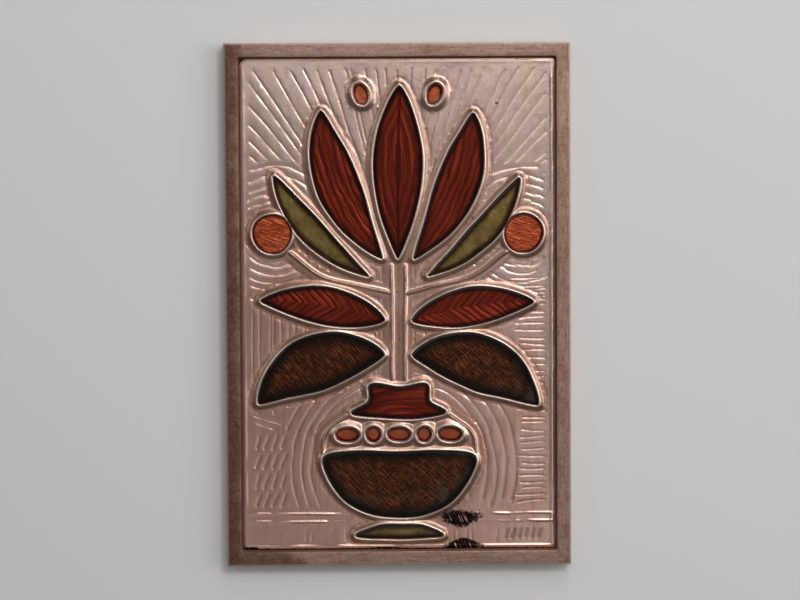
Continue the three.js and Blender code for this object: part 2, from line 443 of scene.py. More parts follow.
@dataclass
class Bouquet:
    """The picture: a footed vase on a table line, with leaves, fruits and a bloom.

    The right-hand half is given, and the left is its mirror image, apart from the drift of the right tips.
    """

    leaves: tuple[Leaf, ...] = (
        Leaf("leaf_low", Enamel.DARK, Engraving.CROSSHATCH, (4.2, -14.5), (40.4, -28), 15.5, 10, 0.48),
        Leaf("leaf_mid", Enamel.RED, Engraving.FEATHER, (4.2, -4.5), (39.2, 1.5), 10.5, 3, 0.47),
        Leaf("sepal", Enamel.OLIVE, Engraving.CLOUDED, (8.6, 8.4), (35.5, 37), 7, -6, 0.54),
        Leaf("petal", Enamel.RED, Engraving.LENGTHWISE, (4.6, 13.4), (22, 55.5), 12, -7.5, 0.54),
    )
    middle_petal: Leaf = field(default_factory=lambda: Leaf(
        "petal_middle", Enamel.RED, Engraving.CONTOUR, (0, 13.5), (0.7, 62.5), 13.8, 0.8, 0.54))
    right_drift: Point = (-0.5, -0.9)
    fruit: Point = (36, 20.5)
    fruit_radius: float = 5.5
    seed: Point = (10.6, 60.4)
    seed_radii: Point = (1.8, 2.7)
    seed_tilt: float = -19
    belly: tuple[Point, ...] = (
        (0, -61.2), (8, -60.2), (15.5, -56.2), (20.5, -49.5), (21.3, -43.4), (11, -42.2), (0, -42.6))
    neck: tuple[Point, ...] = ((0, -32.6), (13.2, -31.2), (8.8, -27.8), (8, -22.9), (0, -23.8))
    neck_eye: Point = (3, -54)
    foot: tuple[Point, ...] = ((0, -67.4), (12.4, -66.7), (7, -63.9), (0, -63.5))
    shoulder: tuple[Point, ...] = ((22.2, -42.6), (21, -36.8), (14.4, -31.6))
    tendril: tuple[Point, ...] = ((2.2, 3.4), (11, 5.6), (22, 8.4), (31, 15.2))
    stem: tuple[Point, ...] = ((1.9, -21.4), (1.9, 11))
    band_y: float = -37.2
    band_spacing: float = 7.4
    band_radii: tuple[Point, Point] = ((3.1, 1.8), (1.9, 1.9))
    table: tuple[tuple[float, float], ...] = ((-60.2, 17), (-62.4, 13.6))
    table_outer: float = 43.8
    spline_steps: int = 24
    outline_step: float = 0.45
    ridge_step: float = 0.6
    waver: float = 0.3

    def vase_cell(self, name: str, enamel: Enamel, engraving: Engraving, half: Sequence[Point]) -> Cell:
        """A part of the vase from half its outline, given from the middle below to the middle above."""
        other = [(-x, y) for x, y in half[-2:0:-1]]
        outline = catmull_rom([*half, *other], self.spline_steps, closed=True)
        low, high = outline[:, 1].min(), outline[:, 1].max()
        middle = np.array([[0, low], [0, high]])
        return Cell(f"enamel_{name}", enamel, engraving, outline, middle, eye=self.neck_eye)

    def cells(self) -> list[Cell]:
        """All the enamelled cells, their outlines with the waver of handwork."""
        made = [
            self.vase_cell("vase_belly", Enamel.DARK, Engraving.CROSSHATCH, self.belly),
            self.vase_cell("vase_neck", Enamel.RED, Engraving.RINGS, self.neck),
            self.vase_cell("vase_foot", Enamel.OLIVE, Engraving.CLOUDED, self.foot),
            self.middle_petal.cell(1, ""),
        ]
        for number in range(5):
            centre = ((number - 2) * self.band_spacing, self.band_y)
            radii = self.band_radii[number % 2]
            made.append(oval_cell(f"vase_band_{number + 1}", centre, radii, 0, Engraving.CLOUDED, True))
        for suffix, side in (("_left", -1), ("_right", 1)):
            drift = self.right_drift if side > 0 else (0.0, 0.0)
            made += [leaf.cell(side, suffix, drift) for leaf in self.leaves]
            fruit = (side * self.fruit[0], self.fruit[1])
            seed = (side * self.seed[0], self.seed[1])
            round_fruit = (self.fruit_radius, self.fruit_radius)
            made.append(oval_cell("fruit" + suffix, fruit, round_fruit, 0, Engraving.SCRATCHED, False))
            tilt = side * self.seed_tilt
            made.append(oval_cell("seed" + suffix, seed, self.seed_radii, tilt, Engraving.CLOUDED, True))
        for cell in made:
            cell.outline = by_hand(resampled(cell.outline, self.outline_step, closed=True), self.waver)
        return made

    def ridges(self) -> list[np.ndarray]:
        """The open ridges: stem, tendrils and the vase's shoulders."""
        lines = []
        for side in (-1, 1):
            for points in (self.stem, self.tendril, self.shoulder):
                line = catmull_rom([(side * x, y) for x, y in points], self.spline_steps, closed=False)
                lines.append(by_hand(resampled(line, self.ridge_step, closed=False), self.waver))
        return lines

    def table_lines(self) -> list[np.ndarray]:
        """The double table line on both sides of the vase."""
        lines = []
        for side in (-1, 1):
            for y, inner in self.table:
                line = np.array([(side * inner, y), (side * self.table_outer, y)], float)
                lines.append(by_hand(resampled(line, self.ridge_step, closed=False), self.waver))
        return lines


@dataclass
class ChasedStrokes:
    """The fine strokes chased into the silver round the picture.

    Each stroke strays by chance, so the order in which they are drawn settles where they lie.
    """

    half_width: float = 42.6
    top: float = 67.8
    bottom: float = -68.6
    stray: float = 0.35
    fewest_points: int = 4
    step: float = 0.9
    fewest_steps: int = 5
    fruit_radii: tuple[float, ...] = (9.2, 11.5, 14.0, 16.7, 19.6)
    fruit_span: tuple[float, float] = (-75, 285)
    fruit_chord: float = 38
    vase_middle: Point = (0, -47)
    vase_radii: tuple[float, ...] = (25.6, 28.2, 31.0, 34.0)
    vase_spans: tuple[tuple[float, float], ...] = ((-22, 66), (114, 202))
    vase_chord: float = 22
    column_rows: tuple[float, ...] = (-56.2, -50.6, -45.0, -39.4)
    chance: np.random.Generator = field(default_factory=lambda: np.random.default_rng(SEED))

    def kept(self, line: np.ndarray) -> list[np.ndarray]:
        """The stretch of a stroke that lies on the panel, with a hand's waver, or nothing."""
        inside = (abs(line[:, 0]) < self.half_width) & (line[:, 1] < self.top) & (line[:, 1] > self.bottom)
        stretch = line[inside]
        return [by_hand(stretch, self.stray)] if len(stretch) >= self.fewest_points else []

    def straight(self, start: Point, end: Point, bow: float = 0.0) -> list[np.ndarray]:
        """A stroke from start to end, bowed sideways in its middle."""
        a, b = np.array(start, float), np.array(end, float)
        length = np.linalg.norm(b - a)
        share = np.linspace(0, 1, max(int(length / self.step), self.fewest_steps))[:, None]
        side = np.array([a[1] - b[1], b[0] - a[0]]) / length
        return self.kept(a + (b - a) * share + side * bow * 4 * share * (1 - share))

    def shift(self, amount: float) -> float:
        """A chance shift of at most an amount, either way."""
        return float(self.chance.uniform(-amount, amount))

    def fan(self, centre: Point = (0, 6), spread: float = 72, gap: float = 3.1, near: float = 34,
            far: float = 100, dip: float = 18) -> list[np.ndarray]:
        """Strokes that fan out over the bloom.

        Args:
            centre: the point that they fan out from.
            spread: the angle in degrees from the middle of the fan to its last stroke.
            gap: the angle between two strokes.
            near: how far from the centre they start.
            far: how far from it they end.
            dip: how much nearer they start at the sides of the fan.

        Returns:
            The strokes.
        """
        lines = []
        for angle in np.arange(-spread, spread + 0.1, gap):
            lean = math.radians(90 + angle + self.shift(0.8))
            begin = near + self.shift(5) - dip * abs(angle) / spread
            way = np.array([math.cos(lean), math.sin(lean)])
            start, end = np.array(centre) + way * begin, np.array(centre) + way * (far + self.shift(8))
            lines += self.straight(start, end, self.shift(0.8))
        return lines

    def rings(self, centre: Point, radii: Sequence[float], span: tuple[float, float],
              chord: float) -> list[np.ndarray]:
        """Rings of nearly straight chords round a centre.

        Args:
            centre: the middle of the rings.
            radii: each ring's radius.
            span: the angles in degrees where the rings start and end.
            chord: the angle that a chord spans.

        Returns:
            The chords.
        """
        lines = []
        for radius in radii:
            start = span[0] + self.shift(0.3 * chord)
            while start < span[1]:
                sweep = chord * (1 + self.shift(0.3))
                ends = [
                    np.array(centre) + (radius + self.shift(0.3)) * np.array([math.cos(a), math.sin(a)])
                    for a in np.radians([start, start + sweep])
                ]
                lines += self.straight(*ends, -0.022 * sweep * (1 + self.shift(0.4)))
                start += sweep - 2 + self.shift(3)
        return lines

    def ladder(self, left: float = 34.5, right: float = 43, low: float = -57, high: float = 8,
               gap: float = 1.9) -> list[np.ndarray]:
        """Short level strokes up the right-hand side, from left to right and from low to high."""
        lines = []
        for y in np.arange(low, high, gap):
            start, end = (left + self.shift(1.8), y + self.shift(0.4)), (right, y + self.shift(0.5))
            lines += self.straight(start, end, self.shift(0.3))
        return lines

    def upright(self, places: Sequence[float], low: float, high: float) -> list[np.ndarray]:
        """Upright strokes at given places across the panel."""
        lines = []
        for x in places:
            start = (x + self.shift(0.5), low + self.shift(2))
            end = (x + self.shift(0.9), high + self.shift(2.5))
            lines += self.straight(start, end, self.shift(0.5))
        return lines

    def marks(self, left: float, right: float, rows: Sequence[float], height: float, gap: float,
              slant: float = 0.4) -> list[np.ndarray]:
        """Rows of short slanting strokes in the place of an inscription.

        Args:
            left: where the rows start.
            right: where they end.
            rows: the middle of each row.
            height: how high a stroke is.
            gap: from one stroke to the next.
            slant: how far a stroke leans to the right for each millimetre of its height.

        Returns:
            The strokes.
        """
        lines = []
        for y in rows:
            for x in np.arange(left, right, gap):
                lean, size = self.shift(0.12) + slant, height * (0.9 + self.shift(0.1))
                bottom, top = (x - lean * size / 2, y - size / 2), (x + lean * size / 2, y + size / 2)
                lines += self.straight(bottom, top)
        return lines

    def fine(self) -> list[np.ndarray]:
        """The fine strokes of the ground: the fan, upright strokes in three places, and two single ones."""
        return [
            *self.fan(),
            *self.upright(np.arange(-29, 29, 2.1), -70, -64),
            *self.upright(np.arange(-43, -22, 1.9), -30, 10),
            *self.upright((5.2, 7.0, 9.1, -5.4, -7.3, -9.4), -30, 8),
            *self.straight((-42, -31.6), (-29.5, -35.6)),
            *self.straight((-41, -33.9), (-31, -37.1)),
        ]

    def terraces(self, fruit: Point) -> list[np.ndarray]:
        """The bolder strokes: rings round both fruits, the ladder, and rings on both sides of the vase."""
        right, left = fruit, (-fruit[0], fruit[1])
        return [
            *self.rings(right, self.fruit_radii, self.fruit_span, self.fruit_chord),
            *self.rings(left, self.fruit_radii, self.fruit_span, self.fruit_chord),
            *self.ladder(),
            *self.rings(self.vase_middle, self.vase_radii, self.vase_spans[0], self.vase_chord),
            *self.rings(self.vase_middle, self.vase_radii, self.vase_spans[1], self.vase_chord),
        ]

    def inscription(self) -> list[np.ndarray]:
        """The strokes in the place of the inscriptions: a column at the left and a row at the right."""
        return [
            *self.marks(-40.5, -31, self.column_rows, 4.0, 2.4),
            *self.marks(31, 42, (-66.2,), 2.6, 1.9),
        ]


class Finish:
    """A material whose Principled shader is filled by a subclass."""

    name: str

    def build(self) -> bpy.types.Material:
        """Makes the material.

        Returns:
            The finished material.
        """
        material = bpy.data.materials.new(self.name)
        material.use_nodes = True
        material.node_tree.nodes.clear()
        tree = Tree(material.node_tree)
        coordinates = tree.out("ShaderNodeTexCoord", output="Object")
        shader = tree.node("ShaderNodeBsdfPrincipled")
        self.fill(tree, tree.scaled(coordinates, 1 / MM), shader)
        end = tree.node("ShaderNodeOutputMaterial")
        tree.tree.links.new(shader.outputs[0], end.inputs["Surface"])
        return material

    def fill(self, tree: Tree, place_mm: Socket, shader: bpy.types.Node) -> None:
        """Fills the shader's sockets; place_mm is the place on the piece in millimetres."""
        raise NotImplementedError

    @staticmethod
    def put(tree: Tree, shader: bpy.types.Node, **values: Any) -> None:
        """Sets sockets of the shader by name, with _ for a space."""
        for name, value in values.items():
            target = shader.inputs[name.replace("_", " ")]
            if isinstance(value, Socket):
                tree.tree.links.new(value.socket, target)
            else:
                target.default_value = (*value, 1.0) if isinstance(value, tuple) else value

    @staticmethod
    def bumped(tree: Tree, height: Any, depth: float) -> Socket:
        """A normal bent by a height between 0 and 1, whose full depth is given in millimetres."""
        return tree.out("ShaderNodeBump", {}, {"Strength": 1.0, "Distance": depth * MM, "Height": height})

    @staticmethod
    def attribute(tree: Tree, name: str) -> Socket:
        """A value that the mesh carries at its points."""
        return tree.out("ShaderNodeAttribute", {"attribute_name": name}, output="Fac")


@dataclass(frozen=True)
class Stain:
    """A dark residue on the silver, with a ragged edge; a spread over 0 widens it downwards."""

    centre: Point
    radii: Point
    ragged: float
    spread: float = 0.0
    bare_from: float = 1.1
    full_within: float = 0.75

    def mask(self, tree: Tree, place_mm: Socket, rough: Socket) -> Socket:
        """How much residue covers a place, from 0 to 1."""
        x, y, _ = tree.split(place_mm)
        along = (y - self.centre[1]) / self.radii[1]
        across = (x - self.centre[0]) / (self.radii[0] * (1.0 - self.spread * along))
        away = tree.math("SQRT", across * across + along * along)
        return tree.ramp(away + (rough - 0.5) * self.ragged, self.bare_from, self.full_within)


@dataclass(frozen=True)
class WorkedSilver(Finish):
    """Hand-worked sheet silver: warm, satin, browned in its hollows by patina and painted shade, with black
    residue in places.
    """

    name: str = "worked_silver"
    bright: Colour = (0.92, 0.66, 0.585)
    dull: Colour = (0.8, 0.465, 0.365)
    rubbed: Colour = (0.96, 0.765, 0.655)
    straw: Colour = (0.9, 0.68, 0.5)
    lilac: Colour = (0.86, 0.6, 0.575)
    tarnish_and_shade_brown: Colour = (0.38, 0.18, 0.11)
    residue: Colour = (0.014, 0.009, 0.009)
    rust: Colour = (0.09, 0.018, 0.014)
    bump_depth: float = 0.02
    stains: tuple[Stain, ...] = (
        Stain((17.6, -61.8), (6.0, 2.6), 1.6, -0.4),
        Stain((18.5, -69.2), (5.6, 2.0), 0.9, 0.6),
        # This stain and the last two darken a thin ragged band along the panel's bottom edge
        Stain((0.0, -70.5), (60.0, 0.4), 2.2),
        Stain((28.5, 57.7), (0.55, 0.4), 0.4),
        Stain((-4.0, -70.2), (6.0, 0.4), 2.0),
        Stain((-42.6, -70.1), (2.2, 0.5), 1.0),
    )

    def clean(self, tree: Tree, place_mm: Socket) -> Socket:
        """The colour of the clean sheet: veils of straw and lilac, duller in clouds, towards the lower left
        and near the walls, rubbed on its crests.
        """
        x, y, _ = tree.split(place_mm)
        cloud = tree.noise(place_mm, 0.07, 3.0)
        veil = tree.noise(place_mm, 0.16, 3.0)
        bands = tree.noise(tree.joined(x * 1.1, y * 0.1), 1.0, 4.0, 0.65)
        banded = (0.16 + 0.2 * tree.ramp(y, 20.0, -20.0)) * tree.ramp(bands, 0.5, 0.68)
        # Duller in clouds, towards the lower left and near the walls
        dull_share = tree.ramp(cloud - 0.003 * x - 0.0045 * y, 0.35, 0.75)
        dull_share = dull_share + 0.4 * self.attribute(tree, "near_wall")
        base = tree.mixed(0.6 * tree.ramp(veil, 0.5, 0.66), self.bright, self.straw)
        base = tree.mixed(0.6 * tree.ramp(veil, 0.5, 0.36), base, self.lilac)
        base = tree.mixed(tree.clamp(dull_share), base, self.dull)
        base = tree.mixed(banded, base, self.tarnish_and_shade_brown)
        return tree.mixed(0.85 * self.attribute(tree, "crest"), base, self.rubbed)

    def stained(self, tree: Tree, place_mm: Socket) -> Socket:
        """How much residue covers a place, worn thinner along slanting lines."""
        x, y, _ = tree.split(place_mm)
        ragged = tree.noise(place_mm, 1.1, 5.0, 0.75)
        covered = self.stains[0].mask(tree, place_mm, ragged)
        for stain in self.stains[1:]:
            covered = tree.math("MAXIMUM", covered, stain.mask(tree, place_mm, ragged))
        lines = tree.noise(tree.joined(x * 2.4 + y * 0.9, y * 0.22), 1.0, 2.0)
        return covered * (1.0 - 0.6 * tree.ramp(lines, 0.6, 0.66))

    def fill(self, tree: Tree, place_mm: Socket, shader: bpy.types.Node) -> None:
        """Fills the shader's sockets."""
        x, y, _ = tree.split(place_mm)
        recess = self.attribute(tree, "recess")
        blotch = tree.noise(place_mm, 0.55, 4.0, 0.6)
        grain = tree.noise(place_mm, 5.0, 3.0)
        scratches = tree.noise(tree.vector("MULTIPLY", place_mm, (0.35, 3.2, 1.0)), 1.6, 2.0)
        flecks = tree.ramp(tree.noise(tree.joined(x * 2.6, y * 0.9), 1.0, 3.0), 0.54, 0.66)
        specks = tree.ramp(tree.noise(place_mm, 1.2, 1.0), 0.70, 0.74) * recess
        # Patina and painted shade in the hollows and along the edges, mixed towards the brown
        patina_and_shade_share = tree.clamp(recess * (0.35 + 0.9 * blotch))
        stained = self.stained(tree, place_mm)
        base = tree.mixed(patina_and_shade_share, self.clean(tree, place_mm), self.tarnish_and_shade_brown)
        base = tree.mixed(specks, base, self.residue)
        base = tree.mixed(stained, base, tree.mixed(flecks, self.residue, self.rust))
        roughness = 0.22 + 0.1 * blotch + 0.05 * grain + 0.08 * recess + 0.3 * stained
        normal = self.bumped(tree, 0.4 * grain + scratches + 1.2 * blotch, self.bump_depth)
        self.put(tree, shader, Base_Color=base, Metallic=1.0, Roughness=roughness, Normal=normal)


@dataclass(frozen=True)
class AgedFrame(Finish):
    """Satin frame metal under a mottled brown patina."""

    name: str = "aged_frame_metal"
    worn: Colour = (0.54, 0.345, 0.285)
    brown: Colour = (0.33, 0.18, 0.135)
    drab: Colour = (0.41, 0.295, 0.215)
    reddish: Colour = (0.155, 0.062, 0.043)
    greenish: Colour = (0.205, 0.113, 0.08)
    # Pale colour of the outer edge: rubbed metal with a painted highlight
    pale: Colour = (0.66, 0.52, 0.46)
    pitted: Colour = (0.12, 0.05, 0.033)
    grimy: Colour = (0.17, 0.055, 0.03)
    half_width: float = 49.5
    half_length: float = 75.0
    face: float = 4.0
    bump_depth: float = 0.022

    def reddened(self, tree: Tree, place_mm: Socket, cloud: Socket) -> Socket:
        """Where the reddish patina lies: on the left bar, and in patches round the lower left corner."""
        x, y, _ = tree.split(place_mm)
        ragged = tree.noise(place_mm, 0.3, 4.0, 0.65) - 0.5
        inward = x + self.half_width - self.face
        bar = tree.ramp(inward + 7.0 * ragged + 5.0 * (cloud - 0.5), 4.5, -2.5)
        corner = inward + 1.4 * (y + self.half_length) + 9.0 * ragged
        return tree.math("MAXIMUM", bar, 0.8 * tree.ramp(corner, 21.0, 17.0) * tree.ramp(y, -69.5, -71.0))

    def rubbed(self, tree: Tree, place_mm: Socket) -> Socket:
        """The outer edge, paler: partly patina that handling has rubbed off, partly a painted highlight
        along the edge.
        """
        x, y, _ = tree.split(place_mm)
        gap = tree.math("MINIMUM", self.half_width - abs(x), self.half_length - abs(y))
        return tree.ramp(gap, 0.6, 0.25)

    def streaks(self, tree: Tree, place_mm: Socket) -> Socket:
        """Streaks along each bar, from its finishing."""
        x, y, _ = tree.split(place_mm)
        upright = tree.math("GREATER_THAN", abs(x), self.half_width - self.face)
        level = tree.noise(tree.joined(x * 0.16, y * 2.1), 1.0, 2.0)
        return level + upright * (tree.noise(tree.joined(x * 2.1, y * 0.16), 1.0, 2.0) - level)

    def fill(self, tree: Tree, place_mm: Socket, shader: bpy.types.Node) -> None:
        """Fills the shader's sockets."""
        cloud = tree.noise(place_mm, 0.09, 3.0)
        mottle = tree.noise(place_mm, 1.1, 5.0, 0.7)
        speck = tree.noise(place_mm, 3.1, 3.0, 0.6)
        patchy = 0.3 * cloud + 0.4 * mottle + 0.3 * self.streaks(tree, place_mm)
        base = tree.mixed(tree.ramp(patchy, 0.42, 0.58), self.brown, self.worn)
        base = tree.mixed(0.7 * tree.ramp(tree.noise(place_mm, 0.4, 3.0), 0.47, 0.6), base, self.drab)
        red_brown = tree.mixed(tree.ramp(mottle, 0.42, 0.6), self.reddish, self.greenish)
        base = tree.mixed(0.95 * self.reddened(tree, place_mm, cloud), base, red_brown)
        # Pale outer edge: rubbed patina with a painted highlight
        base = tree.mixed(0.6 * self.rubbed(tree, place_mm), base, self.pale)
        pits = tree.ramp(speck + 0.3 * (cloud - 0.5), 0.61, 0.72)
        base = tree.mixed(pits * 0.7, base, self.pitted)
        deep = self.attribute(tree, "deep")
        base = tree.mixed(deep * 0.85, base, self.grimy)
        roughness = 0.42 + 0.16 * mottle + 0.15 * pits + 0.15 * deep
        normal = self.bumped(tree, mottle - 0.6 * pits, self.bump_depth)
        metallic = 0.9 - 0.8 * deep
        self.put(tree, shader, Base_Color=base, Metallic=metallic, Roughness=roughness, Normal=normal)


@dataclass(frozen=True)
class EnamelLook:
    """The colours of an enamel.

    The deep colour borders the cell over the width of the shore, the body fills it, and the glow is where
    light comes back from the worked metal. A glint brightens the line where the enamel thins at its wall.
    """

    deep: Colour
    body: Colour
    glow: Colour
    shore: float
    glint: float = 0.0


LOOKS = {
    Enamel.RED: EnamelLook((0.010, 0.0015, 0.001), (0.085, 0.0075, 0.0035), (0.32, 0.036, 0.013), 1.7),
    Enamel.DARK: EnamelLook((0.0065, 0.0043, 0.0027), (0.042, 0.0125, 0.0045), (0.215, 0.058, 0.015), 4.0),
    Enamel.OLIVE: EnamelLook((0.022, 0.008, 0.002), (0.115, 0.062, 0.012), (0.5, 0.35, 0.12), 2.1, 0.9),
}
BRIGHT_RED = EnamelLook((0.05, 0.006, 0.004), (0.37, 0.052, 0.018), (0.74, 0.19, 0.07), 0.7)

# The distance from one rib to the next, and the angles in degrees and strengths of the fields of scratches
RIB_SPACING = {
    Engraving.LENGTHWISE: 1.8,
    Engraving.FEATHER: 2.4,
    Engraving.RINGS: 2.7,
    Engraving.CONTOUR: 2.2,
}
SCRATCH_FIELDS = {
    Engraving.CROSSHATCH: ((38, 1.0), (-47, 1.0)),
    Engraving.SCRATCHED: ((-20, 1.0), (15, 0.7)),
}


@dataclass(frozen=True)
class GlossEnamel(Finish):
    """Clear coloured enamel over engraved metal, under a smooth glossy surface."""

    name: str
    look: EnamelLook
    engraving: Engraving
    eye: Point
    rib_depth: float = 0.14
    scratch_depth: float = 0.07

    def ribs(self, tree: Tree, place_mm: Socket) -> Socket:
        """The height of the worked metal, from 0 to 1."""
        if self.engraving in SCRATCH_FIELDS:
            fields = SCRATCH_FIELDS[self.engraving]
            heights = [share * self.hatch(tree, place_mm, angle) for angle, share in fields]
            return tree.math("MAXIMUM", *heights)
        across, along = self.attribute(tree, "across_mm"), self.attribute(tree, "along_mm")
        waver = (tree.noise(place_mm, 0.13, 2.0) - 0.5) * 2.2
        rules: dict[Engraving, Callable[[], Socket]] = {
            Engraving.LENGTHWISE: lambda: self.streaked(tree, across + waver, along),
            Engraving.FEATHER: lambda: self.streaked(tree, along - 1.1 * abs(across) + waver, across),
            Engraving.RINGS: lambda: self.streaked(tree, self.from_eye(tree, place_mm) + waver, across),
            Engraving.CONTOUR: lambda: self.streaked(
                tree, self.attribute(tree, "edge_mm") + waver, along) * tree.ramp(abs(across), 0.1, 0.7),
            Engraving.CLOUDED: lambda: tree.noise(place_mm, 0.4, 2.0),
        }
        return rules[self.engraving]()

    def from_eye(self, tree: Tree, place_mm: Socket) -> Socket:
        """The distance from the point that rings are drawn round."""
        x, y, _ = tree.split(place_mm)
        dx, dy = x - self.eye[0], y - self.eye[1]
        return tree.math("SQRT", dx * dx + dy * dy)

    def streaked(self, tree: Tree, across: Socket, along: Socket) -> Socket:
        """Rounded ribs with narrow valleys, over streaks of uneven depth along them."""
        turn = tree.math("SINE", across * (math.pi / RIB_SPACING[self.engraving]))
        rib = tree.math("POWER", abs(turn), 0.5)
        streak = tree.noise(tree.joined(across * 0.75, along * 0.05), 1.0, 2.0, 0.6)
        return rib * (0.25 + 0.75 * tree.ramp(streak, 0.3, 0.68))

    @staticmethod
    def hatch(tree: Tree, place_mm: Socket, angle: float) -> Socket:
        """Broken scratches at an angle in degrees."""
        lean = math.radians(angle)
        x, y, _ = tree.split(place_mm)
        along = x * math.cos(lean) + y * math.sin(lean)
        across = y * math.cos(lean) - x * math.sin(lean)
        cut = tree.noise(tree.joined(along * 0.26, across * 2.3, angle), 1.0, 2.0, 0.6)
        return tree.ramp(cut, 0.46, 0.72)

    def fill(self, tree: Tree, place_mm: Socket, shader: bpy.types.Node) -> None:
        """Fills the shader's sockets."""
        look = self.look
        height = self.ribs(tree, place_mm)
        edge = self.attribute(tree, "edge_mm")
        cloud = tree.noise(place_mm, 0.12, 3.0)
        inland = tree.ramp(edge + 1.2 * (cloud - 0.5), 0.1, look.shore)
        thin = tree.bell(edge, 1.0, 0.45) * tree.ramp(tree.noise(place_mm, 0.35, 2.0), 0.48, 0.66)
        lit = tree.clamp(height * (0.3 + 1.3 * cloud) - 0.05 + look.glint * thin) * inland
        base = tree.mixed(inland, look.deep, tree.mixed(lit, look.body, look.glow))
        depth = self.scratch_depth if self.engraving in SCRATCH_FIELDS else self.rib_depth
        self.put(tree, shader, Base_Color=base, Metallic=1.0, Roughness=0.38, Coat_Weight=1.0,
                 Coat_Roughness=0.08, Coat_IOR=1.45, Normal=self.bumped(tree, height, depth))


@dataclass
class Enameller:
    """Makes the enamel fills, and keeps one finish for each colour and way of engraving.

    A fill reaches under its wall's flank by the overlap, and its inner points lie a grid apart. Its middle
    stands over the ground by the rise, and its rim higher still by the climb.
    """

    overlap: float = 0.2
    grid: float = 0.42
    insets: tuple[float, ...] = (0.0, 0.13, 0.28, 0.5)
    rise: float = 0.22
    climb: float = 0.06
    climb_width: float = 0.2
    unevenness: float = 0.03
    finishes: dict[tuple, bpy.types.Material] = field(default_factory=dict)

    def finish_of(self, cell: Cell) -> bpy.types.Material:
        """The finish of a cell, made once for all the cells that share it."""
        key = (cell.enamel, cell.engraving, cell.eye)
        if key not in self.finishes:
            small = cell.engraving in (Engraving.SCRATCHED, Engraving.CLOUDED)
            look = BRIGHT_RED if small and cell.enamel is Enamel.RED else LOOKS[cell.enamel]
            name = f"{cell.enamel.value}_{cell.engraving.name.lower()}"
            self.finishes[key] = GlossEnamel(name, look, cell.engraving, cell.eye).build()
        return self.finishes[key]

    def face_points(self, outline: np.ndarray, rim: np.ndarray) -> np.ndarray:
        """The points of a fill's face: its rim, an even field inside it, and rings along the wall.

        Args:
            outline: the cell's outline.
            rim: the fill's outline.

        Returns:
            The flat points, the rim's first.
        """
        low, high = rim.min(0), rim.max(0)
        rows = np.arange(low[1], high[1], self.grid * math.sqrt(0.75))
        inner = np.array([
            (x + (row % 2) * self.grid / 2, y)
            for row, y in enumerate(rows)
            for x in np.arange(low[0], high[0], self.grid)
        ])
        gap, _, _ = nearest_on(inner, rim, closed=True)
        kept = [inner[self.inside(inner, rim) & (gap > self.overlap + self.insets[-1] + 0.5 * self.grid)]]
        for inset in self.insets:
            ring = outline - normals_of(outline) * inset
            gap, _, _ = nearest_on(ring, rim, closed=True)
            kept.append(ring[self.inside(ring, rim) & (gap > self.overlap + 0.9 * inset)])
        return np.vstack([rim, *kept])

    def mesh(self, cell: Cell) -> bpy.types.Mesh:
        """The closed mesh of a fill: a dished face, an upright side and a flat floor.

        Args:
            cell: the cell that the enamel fills.

        Returns:
            The mesh in metres, with its distances from the edge and from the middle line as attributes.
        """
        rim = cell.outline + normals_of(cell.outline) * self.overlap
        count = len(rim)
        border = [(i, (i + 1) % count) for i in range(count)]
        flat = [Vector(point) for point in self.face_points(cell.outline, rim)]
        points, _, faces, *_ = geometry.delaunay_2d_cdt(flat, border, [], INSIDE_BORDER, NEARLY_SAME)
        top = np.array([tuple(point) for point in points])
        edge, _, _ = nearest_on(top, cell.outline, closed=True)
        edge[:count] = 0.0
        face_z = GROUND + self.rise + self.climb * np.exp(-edge / self.climb_width)
        face_z += [self.unevenness * noise.noise(Vector((x / 4, y / 4, 5))) for x, y in top]
        total = len(top)
        under = np.column_stack([top[:count], np.full(count, GROUND - CELL_DEPTH)])
        solid = np.vstack([np.column_stack([top, face_z]), under])
        sides = [(a, total + a, total + b, b) for a, b in border]
        floor = [tuple(total + i for i in reversed(range(count)))]
        mesh = make_mesh(cell.node, solid, [*faces, *sides, *floor])
        gap, along, side = nearest_on(np.vstack([top, top[:count]]), cell.middle, closed=False)
        note(mesh, "edge_mm", np.concatenate([edge, np.zeros(count)]))
        note(mesh, "across_mm", gap * side)
        note(mesh, "along_mm", along)
        mesh.transform(Matrix.Scale(MM, 4))
        shade(mesh, 60)
        return mesh

    @staticmethod
    def inside(points: np.ndarray, loop: np.ndarray) -> np.ndarray:
        """Which points lie inside a closed loop."""
        x, y = points[:, 0, None], points[:, 1, None]
        (ax, ay), (bx, by) = loop.T, np.roll(loop, -1, axis=0).T
        spans = (ay[None] > y) != (by[None] > y)
        cross = (bx - ax) * (y - ay) / np.where(by == ay, 1e-12, by - ay) + ax
        return (spans & (x < cross)).sum(1) % 2 == 1

    def fill(self, cell: Cell) -> None:
        """Makes and dresses the enamel of one cell."""
        piece = place("fill_" + cell.node.removeprefix("enamel_"), self.mesh(cell))
        dress(piece, self.finish_of(cell), [cell.node])


